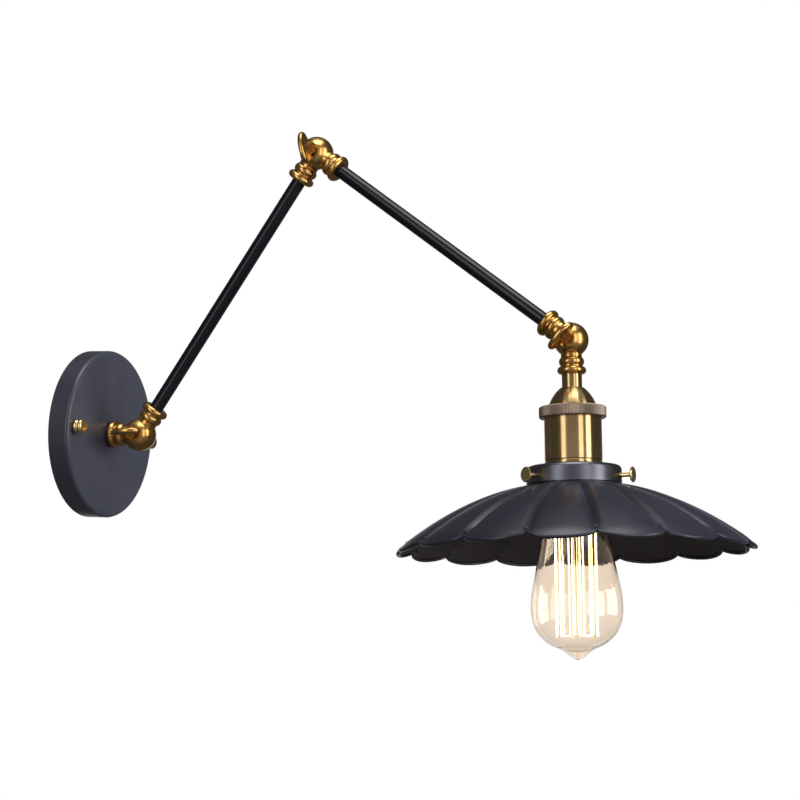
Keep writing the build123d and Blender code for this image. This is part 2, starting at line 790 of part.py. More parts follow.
thread_outline = []
for turn in range(thread_turns):
    crest = cap_shell_start + e27_pitch * (turn + 0.5)
    half_foot = e27_pitch * thread_foot
    half_crest = e27_pitch * thread_crest
    thread_outline += [(crest - half_foot, e27_root_r), (crest - half_crest, e27_r),
                       (crest + half_crest, e27_r), (crest + half_foot, e27_root_r)]
pieces["bulb_cap"] = turned(head_frame, [
    (cap_shell_start, e27_root_r - cap_sheet), (cap_shell_start, e27_root_r), *thread_outline,
    (cap_shell_end, e27_root_r), (cap_shell_end, e27_root_r - cap_sheet)])

glass_start = cap_shell_end - neck_glass_seat
widest = bulb_end - belly_height


def envelope(shrink):
    """Draw the bulb's outline from its neck to its tip, moved inwards by a wall."""
    neck = neck_glass_r - shrink
    belly = bulb_r - shrink
    tip = bulb_end - shrink * tip_glass_share
    flare_end = cap_shell_end + neck_flare_length
    upper = [(flare_end + (widest - flare_end) * along, neck + (belly - neck) * share)
             for along, share in upper_outline]
    lower = [(widest + (tip - widest) * along, belly * share) for along, share in lower_outline]
    return [(glass_start, neck), (cap_shell_end + fit_gap, neck), (flare_end, neck + neck_flare), *upper,
            (widest, belly), *lower, (tip, 0)]


with BuildPart() as bulb_glass:
    with BuildSketch(head_frame):
        with BuildLine():
            outer = envelope(0)
            inner = envelope(glass_wall)
            Line(outer[0], outer[1])
            Spline(*outer[1:])
            Line(outer[-1], inner[-1])
            Spline(*reversed(inner[1:]))
            Line(inner[1], inner[0])
            Line(inner[0], outer[0])
        make_face()
    revolve(axis=Axis(head_frame.origin, head_frame.x_dir))
pieces["bulb_glass"] = bulb_glass.part

stem_top = bulb_start + strand_bottom
stem_foot_r = neck_glass_r - glass_wall - fit_gap
foot_top = glass_start + stem_foot_height
pinch_start = foot_top + stem_cone_height
pinch_end = pinch_start + stem_pinch_height
pieces["filament_stem"] = turned(head_frame, [
    (glass_start, 0), (glass_start, stem_foot_r), (foot_top, stem_foot_r), (pinch_start, stem_rod_d),
    (pinch_end, stem_rod_d), (pinch_end + stem_step, stem_rod_d / 2),
    (stem_top + stem_step, stem_rod_d / 2), (stem_top + stem_step, 0)])

strand_step = 360 / strand_count
strand_points = []
for strand in range(strand_count):
    ends = [bulb_start + strand_top, bulb_start + strand_bottom]
    if strand % 2:
        ends.reverse()
    strand_points += [head_point(station, strand_ring_r, strand * strand_step) for station in ends]
with BuildPart() as filament:
    with BuildLine() as strands:
        Polyline(*strand_points)
    with BuildSketch(Plane(origin=strands.line @ 0, z_dir=strands.line % 0)):
        Circle(strand_d / 2)
    sweep(transition=Transition.ROUND)
pieces["filament"] = filament.part

with BuildPart() as filament_supports:
    for strand in range(strand_count):
        for station in (bulb_start + strand_top, bulb_start + strand_bottom):
            angle = strand * strand_step
            add(rod(head_point(station, stem_rod_d / 2, angle),
                    head_point(station, strand_ring_r - strand_d / 2 - running_gap, angle), support_d))
pieces["filament_supports"] = filament_supports.part


# Every piece is written as its own node

for name, piece in pieces.items():
    piece.label = name
    export_step(piece, f"parts/{name}.step")
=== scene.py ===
import json
import logging
import math
from collections.abc import Callable
from dataclasses import dataclass, field
from enum import Enum

import bpy
from mathutils import Matrix, Vector


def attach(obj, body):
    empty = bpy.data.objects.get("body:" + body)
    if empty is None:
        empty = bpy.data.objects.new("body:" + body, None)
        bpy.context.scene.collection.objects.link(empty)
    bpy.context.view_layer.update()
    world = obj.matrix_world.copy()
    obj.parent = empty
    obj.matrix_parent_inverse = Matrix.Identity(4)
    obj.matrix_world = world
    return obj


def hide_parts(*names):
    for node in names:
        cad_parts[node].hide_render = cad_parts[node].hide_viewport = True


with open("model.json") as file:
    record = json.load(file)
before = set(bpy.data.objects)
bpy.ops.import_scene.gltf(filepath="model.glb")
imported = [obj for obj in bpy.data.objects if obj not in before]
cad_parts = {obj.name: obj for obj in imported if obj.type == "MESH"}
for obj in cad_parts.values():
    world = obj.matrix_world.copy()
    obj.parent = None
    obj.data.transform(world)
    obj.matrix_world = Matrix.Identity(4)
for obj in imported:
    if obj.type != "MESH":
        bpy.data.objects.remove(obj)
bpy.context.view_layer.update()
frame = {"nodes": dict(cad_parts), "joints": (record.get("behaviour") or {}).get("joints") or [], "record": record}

log = logging.getLogger("wall_lamp")

Colour = tuple[float, float, float, float]
WHITE: Colour = (1.0, 1.0, 1.0, 1.0)
MM = 0.001

# Points closer than this count as one
MERGE = 0.02 * MM

# Most of a noise's values lie in this span, and the broad noise has this share of the fine one's scale
NOISE_LOW = 0.3
NOISE_HIGH = 0.7
BROAD_SHARE = 0.06

# The bulb turns about the lamp head's axis, which starts at the head knuckle and points down
BULB_TURN = next(joint for joint in frame["joints"] if joint["name"] == "bulb_turn")
HEAD_KNUCKLE = tuple(BULB_TURN["pos_m"])
HEAD_DOWN = tuple(BULB_TURN["axis"])


# Node graphs and shared effects


class Graph:
    """A node tree that is being filled."""

    def __init__(self, tree: bpy.types.NodeTree) -> None:
        """Keep the tree and empty it."""
        self.tree = tree
        self.tree.nodes.clear()

    def add(self, kind: str, **settings: object) -> bpy.types.Node:
        """Add a node.

        Args:
            kind: the node's type name.
            settings: its properties by name.

        Returns:
            The new node.
        """
        node = self.tree.nodes.new(kind)
        for name, value in settings.items():
            setattr(node, name, value)
        return node

    def link(self, source: bpy.types.NodeSocket, target: bpy.types.NodeSocket) -> None:
        """Join an output to an input."""
        self.tree.links.new(source, target)


class Effect(Enum):
    """Node groups that several finishes share."""

    TONE = "tone drift"
    GRAIN = "surface grain"
    LATHE = "lathe lines"


class Group(Graph):
    """A shared node group, with the nodes of its inputs and outputs."""

    def __init__(self, effect: Effect, inputs: dict[str, str], outputs: dict[str, str]) -> None:
        """Start the group with its named sockets.

        Args:
            effect: which shared effect it is.
            inputs: socket types by input name.
            outputs: socket types by output name.
        """
        tree = bpy.data.node_groups.new(effect.value, "ShaderNodeTree")
        for name, kind in inputs.items():
            tree.interface.new_socket(name=name, in_out="INPUT", socket_type=kind)
        for name, kind in outputs.items():
            tree.interface.new_socket(name=name, in_out="OUTPUT", socket_type=kind)
        super().__init__(tree)
        self.source = self.add("NodeGroupInput")
        self.sink = self.add("NodeGroupOutput")

    def spread(self) -> bpy.types.Node:
        """Add a node that stretches the span where most of a noise's values lie.

        Returns:
            The new node.
        """
        node = self.add("ShaderNodeMapRange")
        node.inputs["From Min"].default_value = NOISE_LOW
        node.inputs["From Max"].default_value = NOISE_HIGH
        return node


def build_tone_group() -> None:
    """Build the slow drift between two tones of one colour."""
    graph = Group(
        Effect.TONE,
        {"Vector": "NodeSocketVector", "Scale": "NodeSocketFloat", "Dark": "NodeSocketColor",
         "Light": "NodeSocketColor"},
        {"Color": "NodeSocketColor"})
    noise = graph.add("ShaderNodeTexNoise")
    noise.inputs["Detail"].default_value = 4.0
    noise.inputs["Roughness"].default_value = 0.55
    spread = graph.spread()
    mix = graph.add("ShaderNodeMix", data_type="RGBA")
    graph.link(graph.source.outputs["Vector"], noise.inputs["Vector"])
    graph.link(graph.source.outputs["Scale"], noise.inputs["Scale"])
    graph.link(noise.outputs["Fac"], spread.inputs["Value"])
    graph.link(spread.outputs["Result"], mix.inputs["Factor"])
    graph.link(graph.source.outputs["Dark"], mix.inputs["A"])
    graph.link(graph.source.outputs["Light"], mix.inputs["B"])
    graph.link(mix.outputs["Result"], graph.sink.inputs["Color"])


def build_grain_group() -> None:
    """Build the fine grain that feeds a bump, with broad patches that vary the roughness."""
    graph = Group(
        Effect.GRAIN,
        {"Vector": "NodeSocketVector", "Scale": "NodeSocketFloat", "Low": "NodeSocketFloat",
         "High": "NodeSocketFloat"},
        {"Roughness": "NodeSocketFloat", "Height": "NodeSocketFloat"})
    fine = graph.add("ShaderNodeTexNoise")
    fine.inputs["Detail"].default_value = 6.0
    broad = graph.add("ShaderNodeTexNoise")
    broad.inputs["Detail"].default_value = 3.0
    slower = graph.add("ShaderNodeMath", operation="MULTIPLY")
    slower.inputs[1].default_value = BROAD_SHARE
    spread = graph.spread()
    graph.link(graph.source.outputs["Vector"], fine.inputs["Vector"])
    graph.link(graph.source.outputs["Vector"], broad.inputs["Vector"])
    graph.link(graph.source.outputs["Scale"], fine.inputs["Scale"])
    graph.link(graph.source.outputs["Scale"], slower.inputs[0])
    graph.link(slower.outputs["Value"], broad.inputs["Scale"])
    graph.link(broad.outputs["Fac"], spread.inputs["Value"])
    graph.link(graph.source.outputs["Low"], spread.inputs["To Min"])
    graph.link(graph.source.outputs["High"], spread.inputs["To Max"])
    graph.link(spread.outputs["Result"], graph.sink.inputs["Roughness"])
    graph.link(fine.outputs["Fac"], graph.sink.inputs["Height"])


def build_lathe_group() -> None:
    """Build the faint lines that turning leaves across a piece's axis."""
    graph = Group(
        Effect.LATHE,
        {"Vector": "NodeSocketVector", "Axis": "NodeSocketVector", "Scale": "NodeSocketFloat"},
        {"Height": "NodeSocketFloat"})
    along = graph.add("ShaderNodeVectorMath", operation="DOT_PRODUCT")
    station = graph.add("ShaderNodeMath", operation="MULTIPLY")
    lines = graph.add("ShaderNodeTexNoise", noise_dimensions="1D")
    lines.inputs["Scale"].default_value = 1.0
    lines.inputs["Detail"].default_value = 2.0
    graph.link(graph.source.outputs["Vector"], along.inputs[0])
    graph.link(graph.source.outputs["Axis"], along.inputs[1])
    graph.link(along.outputs["Value"], station.inputs[0])
    graph.link(graph.source.outputs["Scale"], station.inputs[1])
    graph.link(station.outputs["Value"], lines.inputs["W"])
    graph.link(lines.outputs["Fac"], graph.sink.inputs["Height"])


class Look:
    """A material being built round one Principled shader."""

    def __init__(self, name: str) -> None:
        """Start the material with its shader, output and Object coordinates.

        Args:
            name: the material's name.
        """
        self.material = bpy.data.materials.new(name)
        self.material.use_nodes = True
        self.graph = Graph(self.material.node_tree)
        self.shader = self.graph.add("ShaderNodeBsdfPrincipled")
        self.output = self.graph.add("ShaderNodeOutputMaterial")
        self.graph.link(self.shader.outputs["BSDF"], self.output.inputs["Surface"])
        self.coordinates = self.graph.add("ShaderNodeTexCoord").outputs["Object"]

    def effect(self, effect: Effect, **values: object) -> bpy.types.Node:
        """Place a shared effect.

        Args:
            effect: which shared effect.
            values: its input values by name.

        Returns:
            The group node.
        """
        node = self.graph.add("ShaderNodeGroup", node_tree=bpy.data.node_groups[effect.value])
        for name, value in values.items():
            node.inputs[name].default_value = value
        self.graph.link(self.coordinates, node.inputs["Vector"])
        return node

    def bump(self, height: bpy.types.NodeSocket, distance: float, strength: float) -> None:
        """Feed a height to the shader's normal.

        Args:
            height: the output that gives the height.
            distance: the relief between its lows and highs, in metres.
            strength: how much of the relief shows.
        """
        bump = self.graph.add("ShaderNodeBump")
        bump.inputs["Distance"].default_value = distance
        bump.inputs["Strength"].default_value = strength
        self.graph.link(height, bump.inputs["Height"])
        self.graph.link(bump.outputs["Normal"], self.shader.inputs["Normal"])

    def set(self, **values: object) -> None:
        """Set the shader's own sockets, with underscores for spaces."""
        for name, value in values.items():
            self.shader.inputs[name.replace("_", " ")].default_value = value


# Finishes


@dataclass(frozen=True)
class Paint:
    """Satin or matte paint, plastic or rubber, with a fine grain."""

    name: str
    dark: Colour
    light: Colour
    rough_low: float
    rough_high: float
    grain_scale: float = 900.0
    grain_depth: float = 0.04 * MM
    grain_strength: float = 0.5
    tone_scale: float = 14.0
    specular: float = 0.5

    def material(self) -> bpy.types.Material:
        """Build the paint's material.

        Returns:
            The new material.
        """
        look = Look(self.name)
        tone = look.effect(Effect.TONE, Scale=self.tone_scale, Dark=self.dark, Light=self.light)
        grain = look.effect(Effect.GRAIN, Scale=self.grain_scale, Low=self.rough_low, High=self.rough_high)
        look.graph.link(tone.outputs["Color"], look.shader.inputs["Base Color"])
        look.graph.link(grain.outputs["Roughness"], look.shader.inputs["Roughness"])
        look.bump(grain.outputs["Height"], self.grain_depth, self.grain_strength)
        look.set(Specular_IOR_Level=self.specular)
        return look.material


@dataclass(frozen=True)
class Metal:
    """Bare or plated metal with drifting tone, and faint lines and a streaked shine where it was turned."""

    name: str
    dark: Colour
    light: Colour
    rough_low: float
    rough_high: float
    tone_scale: float = 40.0
    grain_scale: float = 600.0
    turned_about: tuple[float, float, float] | None = None
    line_scale: float = 1600.0
    line_depth: float = 0.02 * MM
    line_strength: float = 0.3
    streak: float = 0.0

    def material(self) -> bpy.types.Material:
        """Build the metal's material.

        Returns:
            The new material.
        """
        look = Look(self.name)
        tone = look.effect(Effect.TONE, Scale=self.tone_scale, Dark=self.dark, Light=self.light)
        grain = look.effect(Effect.GRAIN, Scale=self.grain_scale, Low=self.rough_low, High=self.rough_high)
        look.graph.link(tone.outputs["Color"], look.shader.inputs["Base Color"])
        look.graph.link(grain.outputs["Roughness"], look.shader.inputs["Roughness"])
        if self.turned_about:
            lathe = look.effect(Effect.LATHE, Axis=self.turned_about, Scale=self.line_scale)
            look.bump(lathe.outputs["Height"], self.line_depth, self.line_strength)
            axis = look.graph.add("ShaderNodeVectorTransform", convert_from="OBJECT", convert_to="WORLD")
            axis.inputs["Vector"].default_value = self.turned_about
            look.graph.link(axis.outputs["Vector"], look.shader.inputs["Tangent"])
        look.set(Metallic=1.0, Anisotropic=self.streak)
        return look.material


@dataclass(frozen=True)
class Glass:
    """Clear glass with a faint drift in its tint, which lets the filament's light through."""

    name: str
    dark: Colour
    light: Colour
    roughness: float
    index: float = 1.45
    tone_scale: float = 18.0

    def material(self) -> bpy.types.Material:
        """Build the glass's material.

        Returns:
            The new material.
        """
        look = Look(self.name)
        tone = look.effect(Effect.TONE, Scale=self.tone_scale, Dark=self.dark, Light=self.light)
        look.graph.link(tone.outputs["Color"], look.shader.inputs["Base Color"])
        look.set(Roughness=self.roughness, IOR=self.index, Transmission_Weight=1.0)
        clear = look.graph.add("ShaderNodeBsdfTransparent")
        path = look.graph.add("ShaderNodeLightPath")
        mix = look.graph.add("ShaderNodeMixShader")
        look.graph.link(tone.outputs["Color"], clear.inputs["Color"])
        look.graph.link(path.outputs["Is Shadow Ray"], mix.inputs["Fac"])
        look.graph.link(look.shader.outputs["BSDF"], mix.inputs[1])
        look.graph.link(clear.outputs["BSDF"], mix.inputs[2])
        look.graph.link(mix.outputs["Shader"], look.output.inputs["Surface"])
        return look.material


@dataclass(frozen=True)
class Glow:
    """Hot wire that gives its own light, with hotter and cooler stretches."""

    name: str
    cool: Colour
    hot: Colour
    strength: float
    roughness: float = 0.4
    tone_scale: float = 60.0

    def material(self) -> bpy.types.Material:
        """Build the glowing wire's material.

        Returns:
            The new material.
        """
        look = Look(self.name)
        tone = look.effect(Effect.TONE, Scale=self.tone_scale, Dark=self.cool, Light=self.hot)
        look.graph.link(tone.outputs["Color"], look.shader.inputs["Base Color"])
        look.graph.link(tone.outputs["Color"], look.shader.inputs["Emission Color"])
        look.set(Emission_Strength=self.strength, Roughness=self.roughness)
        return look.material


class Finish(Enum):
    """Every finish on the lamp."""

    # One charcoal paint in several copies whose colours are painted light and shade: this darker one on the lamp
    # shade's outside, lighter ones on the wall plate and inside the lamp shade.
    CHARCOAL = Paint(
        "charcoal satin paint", dark=(0.014, 0.015, 0.026, 1), light=(0.019, 0.020, 0.033, 1),
        rough_low=0.29, rough_high=0.35, grain_depth=0.01 * MM)
    # Painted light: the wall plate's copy of the charcoal paint is lighter, standing in for the light that falls
    # on it.
    PLATE = Paint(
        "charcoal paint lit for plate", dark=(0.038, 0.040, 0.056, 1), light=(0.046, 0.048, 0.066, 1),
        rough_low=0.29, rough_high=0.35, grain_depth=0.01 * MM)
    # Painted light: the lamp shade's inner faces take a lighter copy of the charcoal paint, standing in for the
    # light that reaches inside it.
    LINING = Paint(
        "charcoal paint lit inside shade", dark=(0.034, 0.031, 0.038, 1), light=(0.042, 0.039, 0.046, 1),
        rough_low=0.5, rough_high=0.6, specular=0.25)
    BURNISHED = Metal(
        "burnished black gallery", dark=(0.13, 0.13, 0.16, 1), light=(0.17, 0.17, 0.205, 1),
        rough_low=0.32, rough_high=0.38, turned_about=HEAD_DOWN)
    ARM_BLACK = Paint(
        "black satin arm paint", dark=(0.007, 0.0065, 0.010, 1), light=(0.010, 0.0095, 0.014, 1),
        rough_low=0.13, rough_high=0.17, grain_depth=0.001 * MM, specular=0.25)
    BRASS = Metal(
        "polished aged brass", dark=(0.50, 0.265, 0.07, 1), light=(0.68, 0.405, 0.135, 1),
        rough_low=0.20, rough_high=0.26)
    SHELL = Metal(
        "spun socket brass", dark=(0.48, 0.32, 0.14, 1), light=(0.60, 0.425, 0.21, 1),
        rough_low=0.22, rough_high=0.27, turned_about=HEAD_DOWN, streak=0.95)
    BRIGHT = Metal(
        "bright brass", dark=(0.74, 0.54, 0.22, 1), light=(0.86, 0.67, 0.32, 1),
        rough_low=0.14, rough_high=0.22)
    BRONZE = Metal(
        "dull bronze", dark=(0.24, 0.185, 0.14, 1), light=(0.33, 0.255, 0.195, 1),
        rough_low=0.42, rough_high=0.52)
    STEEL = Metal(
        "zinc plated steel", dark=(0.42, 0.43, 0.44, 1), light=(0.58, 0.59, 0.60, 1),
        rough_low=0.28, rough_high=0.42)
    TINNED = Metal(
        "tinned contact", dark=(0.50, 0.50, 0.48, 1), light=(0.66, 0.66, 0.63, 1),
        rough_low=0.3, rough_high=0.45)
    INSULATOR = Paint(
        "black moulded insulator", dark=(0.010, 0.010, 0.010, 1), light=(0.022, 0.021, 0.020, 1),
        rough_low=0.4, rough_high=0.55)
    BLOCK = Paint(
        "white moulded block", dark=(0.62, 0.62, 0.59, 1), light=(0.76, 0.76, 0.73, 1),
        rough_low=0.4, rough_high=0.55)
    FLEX = Paint(
        "black sheathed flex", dark=(0.012, 0.012, 0.012, 1), light=(0.026, 0.026, 0.026, 1),
        rough_low=0.5, rough_high=0.65)
    GLASS = Glass(
        "clear bulb glass", dark=(0.93, 0.835, 0.725, 1), light=(0.96, 0.88, 0.79, 1), roughness=0.0)
    STEM_GLASS = Glass(
        "bulb stem glass", dark=(0.96, 0.93, 0.88, 1), light=(0.99, 0.975, 0.95, 1), roughness=0.02)
    GLOW = Glow("glowing filament", cool=(1.0, 0.66, 0.30, 1), hot=(1.0, 0.84, 0.54, 1), strength=6.0)
    SUPPORT = Metal(
        "filament support wire", dark=(0.50, 0.45, 0.38, 1), light=(0.66, 0.60, 0.50, 1),
        rough_low=0.25, rough_high=0.4)

    def material(self) -> bpy.types.Material:
        """Return the finish's material, built on first use."""
        return bpy.data.materials.get(self.value.name) or self.value.material()

    def dress(self, piece: bpy.types.Object, inside: "Finish | None" = None) -> None:
        """Give a piece this finish.

        Args:
            piece: the object.
            inside: a second finish that its inner faces may take.
        """
        piece.data.materials.clear()
        for finish in (self, inside):
            if finish:
                piece.data.materials.append(finish.material())


SLOT_FINISH = {
    "charcoal_paint": Finish.CHARCOAL,
    "black_arm": Finish.ARM_BLACK,
    "aged_brass": Finish.BRASS,
    "bright_brass": Finish.BRIGHT,
    "dark_bronze": Finish.BRONZE,
    "zinc_steel": Finish.STEEL,
    "black_insulator": Finish.INSULATOR,
    "white_block": Finish.BLOCK,
    "black_flex": Finish.FLEX,
    "clear_glass": Finish.GLASS,
    "filament_wire": Finish.GLOW,
    "tinned_contact": Finish.TINNED,
}


# Modelling helpers


def deselect_all() -> None:
    """Leave object mode with nothing selected."""
    if bpy.context.object and bpy.context.object.mode != "OBJECT":
        bpy.ops.object.mode_set(mode="OBJECT")
    bpy.ops.object.select_all(action="DESELECT")


def make_active(piece: bpy.types.Object) -> None:
    """Select one piece alone and make it active.

    Args:
        piece: the object.
    """
    deselect_all()
    piece.select_set(True)
    bpy.context.view_layer.objects.active = piece


def select_points(piece: bpy.types.Object, wanted: Callable[[Vector], bool]) -> None:
    """Select the points of a piece that a test picks, with the edges between them.

    Args:
        piece: the object.
        wanted: the test of a point's place.
    """
    make_active(piece)
    bpy.ops.object.mode_set(mode="EDIT")
    bpy.ops.mesh.select_mode(type="VERT")
    bpy.ops.mesh.select_all(action="DESELECT")
    bpy.ops.object.mode_set(mode="OBJECT")
    for point in piece.data.vertices:
        point.select = wanted(point.co)
    for edge in piece.data.edges:
        edge.select = all(piece.data.vertices[index].select for index in edge.vertices)


def apply_modifier(piece: bpy.types.Object, kind: str, **settings: object) -> None:
    """Add a modifier to a piece and apply it.

    Args:
        piece: the object.
        kind: the modifier's type name.
        settings: its properties by name.
    """
    make_active(piece)
    modifier = piece.modifiers.new(kind.lower(), kind)
    for name, value in settings.items():
        setattr(modifier, name, value)
    bpy.ops.object.modifier_apply(modifier=modifier.name)


def join(first: bpy.types.Object, *others: bpy.types.Object) -> bpy.types.Object:
    """Join pieces into the first one.

    Args:
        first: the piece that takes the others in.
        others: the pieces that go into it.

    Returns:
        The first piece.
    """
    make_active(first)
    for piece in others:
        piece.select_set(True)
    bpy.ops.object.join()
    return first


def place(piece: bpy.types.Object, matrix: Matrix) -> None:
    """Move a piece to its place on the lamp and put that into its mesh.

    Args:
        piece: the object, built at the origin.
        matrix: where it goes.
    """
    make_active(piece)
    piece.matrix_world = matrix
    bpy.ops.object.transform_apply(location=True, rotation=True, scale=True)


def smooth(piece: bpy.types.Object, degrees: float) -> None:
    """Shade a piece smooth except across edges sharper than an angle."""
    make_active(piece)
    bpy.ops.object.shade_smooth_by_angle(angle=math.radians(degrees))


def finish_piece(piece: bpy.types.Object, name: str, body: str, slot: str, *nodes: str) -> None:
    """Name a new piece, ride it on its body and let it stand for CAD nodes.

    Args:
        piece: the finished object.
        name: its name.
        body: the CAD body it moves with.
        slot: the record's material slot; not used.
        nodes: the CAD nodes it stands for.
    """
    piece.name = name
    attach(piece, body)
    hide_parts(*nodes)
    log.info("%s: %d faces", name, len(piece.data.polygons))


# Sub-assemblies


@dataclass(frozen=True)
class CadAssembly:
    """The CAD pieces of some bodies, which take their slots' finishes unless they have one of their own."""

    bodies: tuple[str, ...]
    own: dict[str, Finish] = field(default_factory=dict)

    def dress(self) -> None:
        """Give every piece its finish."""
        record = frame["record"]
        slots = {part["node"]: part["material_slot"] for part in record["subparts"]}
        for body in self.bodies:
            for name in record["behaviour"]["bodies"][body]:
                finish = self.own.get(name, SLOT_FINISH[slots[name]])
                finish.dress(frame["nodes"][name])
                log.info("%s: %s", name, finish.value.name)


CAD_ASSEMBLIES = (
    # The wall plate takes the lighter copy of the charcoal paint, painted light.
    CadAssembly(("wall",), {"wall_plate": Finish.PLATE}),
    CadAssembly(("lower_arm", "upper_arm")),
    CadAssembly(("head",), {"head_stem": Finish.SHELL, "socket_cap": Finish.SHELL,
                            "socket_shell": Finish.SHELL, "shade_gallery": Finish.BURNISHED}),
    CadAssembly(("bulb",), {"filament_stem": Finish.STEM_GLASS, "filament_supports": Finish.SUPPORT}),
    CadAssembly(("wall_wing", "elbow_wing", "head_wing")),
    CadAssembly(("thumb_screw_1", "thumb_screw_2", "thumb_screw_3")),
)


@dataclass
class HeadAxis:
    """Where the lamp head's axis lies on the lamp."""

    knuckle: tuple[float, float, float] = HEAD_KNUCKLE
    down: tuple[float, float, float] = HEAD_DOWN

    def matrix(self) -> Matrix:
        """Return the transform from the head's own frame, which hangs along Z from the knuckle."""
        turn = Vector((0, 0, -1)).rotation_difference(Vector(self.down))
        return Matrix.Translation(self.knuckle) @ turn.to_matrix().to_4x4()


@dataclass
class UmbrellaShade:
    """The scalloped shade: one petal, repeated round the collar, with a rolled hem.

    Its sizes are in millimetres, its heights run down from the head knuckle, and its angle is a crease's.
    """

    axis: HeadAxis
    petals: int = 16
    angle: float = 4.0
    inner_r: float = 33.6
    tip_r: float = 124.6
    cusp_r: float = 117.4
    shoulder: float = 102.8
    slope: float = 0.170
    bend: float = 0.00337
    rim_bend_r: float = 116.0
    rim_bend: float = 0.021
    bulge: float = 0.15
    groove_depth: float = 2.3
    groove_width: float = 5.0
    groove_shape: float = 1.5
    groove_fade: float = 12.0
    rim_fade: float = 10.0
    crowding: float = 1.7
    thickness: float = 0.9
    hem_r: float = 1.4
    hem_in: float = 0.5
    hem_drop: float = 0.7
    curl_r: float = 1.4
    curl_thickness: float = 0.75
    curl_rise: float = -0.2
    collar_r: float = 31.2
    collar_top: float = 93.8
    steps_along: int = 40
    steps_across: int = 36
    hem_steps: int = 4
    curl_steps: int = 24
    curl_sides: int = 10
    collar_sides: int = 96
    sharp: float = 30.0

    def drop(self, radius: float) -> float:
        """Return how far the crown lies below the shoulder.

        Args:
            radius: the place on the crown.

        Returns:
            The fall, which grows faster past the radius of the rim's bend.
        """
        run = radius - self.inner_r
        past_bend = max(radius - self.rim_bend_r, 0.0)
        return self.slope * run + self.bend * run ** 2 + self.rim_bend * past_bend ** 2

    def rim(self, across: float) -> float:
        """Return where the scallop ends a petal.

        Args:
            across: place across the petal, from -1 at one crease to 1 at the other.

        Returns:
            The distance along the petal's middle line.
        """
        radius = self.cusp_r + (self.tip_r - self.cusp_r) * math.sqrt(1 - across ** 2)
        return radius / math.hypot(1, across * math.tan(math.pi / self.petals))

    def surface(self, along: float, across: float) -> Vector:
        """Return a point of the pressed petal.

        Args:
            along: distance along the petal's middle line.
            across: place across the petal, from -1 at one crease to 1 at the other.

        Returns:
            The point in the head's own frame.
        """
        half_width = along * math.tan(math.pi / self.petals)
        from_crease = (1 - abs(across)) * half_width
        from_shoulder = (along - self.inner_r) / self.groove_fade
        from_rim = (self.rim(across) - along) / self.rim_fade
        depth = self.groove_depth * min(from_shoulder, from_rim, 1.0)
        groove = depth * max(1 - from_crease / self.groove_width, 0.0) ** self.groove_shape
        fall = self.shoulder + self.drop(along) + self.bulge * across ** 2 * half_width + groove
        return Vector((along, across * half_width, -fall)) * MM

    def build_petal(self) -> bpy.types.Object:
        """Press one petal from a flat grid whose lines crowd towards the creases.

        Returns:
            The petal's sheet.
        """
        deselect_all()
        bpy.ops.mesh.primitive_grid_add(
            x_subdivisions=self.steps_along, y_subdivisions=self.steps_across, size=1)
        petal = bpy.context.object
        for point in petal.data.vertices:
            from_middle = min(abs(2 * point.co.y), 1.0)
            across = math.copysign(1 - (1 - from_middle) ** self.crowding, point.co.y)
            along = self.inner_r + (self.rim(across) - self.inner_r) * (point.co.x + 0.5)
            point.co = self.surface(along, across)
        return petal

    def build_curl(self) -> bpy.types.Object:
        """Make the small curl where the hem turns at a crease.

        Returns:
            The curl.
        """
        deselect_all()
        spot = self.surface(self.rim(1.0), 1.0) + Vector((0, 0, self.curl_rise * MM))
        bpy.ops.mesh.primitive_torus_add(
            major_radius=self.curl_r * MM, minor_radius=self.curl_thickness * MM,
            major_segments=self.curl_steps, minor_segments=self.curl_sides, location=spot,
            rotation=(0, math.pi / 2, math.pi / self.petals))
        bpy.ops.object.transform_apply(location=True, rotation=True, scale=True)
        return bpy.context.object

    def build_hem(self, petal: bpy.types.Object) -> bpy.types.Object:
        """Roll a bead along the petal's scalloped edge.

        Args:
            petal: the petal's sheet.

        Returns:
            The bead.
        """
        row = self.steps_along + 1
        points = petal.data.vertices
        ends = {tuple(points[index].co) for index in range(self.steps_along, len(points), row)}
        select_points(petal, lambda point: tuple(point) in ends)
        bpy.ops.object.mode_set(mode="EDIT")
        bpy.ops.mesh.duplicate()
        bpy.ops.mesh.separate(type="SELECTED")
        bpy.ops.object.mode_set(mode="OBJECT")
        hem = next(piece for piece in bpy.context.selected_objects if piece != petal)
        make_active(hem)
        bpy.ops.object.convert(target="CURVE")
        hem.data.bevel_depth = self.hem_r * MM
        hem.data.bevel_resolution = self.hem_steps
        hem.data.use_fill_caps = True
        bpy.ops.object.convert(target="MESH")
        bpy.ops.object.mode_set(mode="EDIT")
        bpy.ops.mesh.select_all(action="SELECT")
        bpy.ops.transform.translate(value=(-self.hem_in * MM, 0, -self.hem_drop * MM))
        bpy.ops.object.mode_set(mode="OBJECT")
        return hem

    def face_up(self, petals: bpy.types.Object) -> None:
        """Turn the joined petals' faces to the top, since an open sheet has no outside of its own.

        Args:
            petals: the sheet of all the petals.
        """
        if petals.data.polygons[0].normal.z < 0:
            make_active(petals)
            bpy.ops.object.mode_set(mode="EDIT")
            bpy.ops.mesh.select_all(action="SELECT")
            bpy.ops.mesh.flip_normals()
            bpy.ops.object.mode_set(mode="OBJECT")

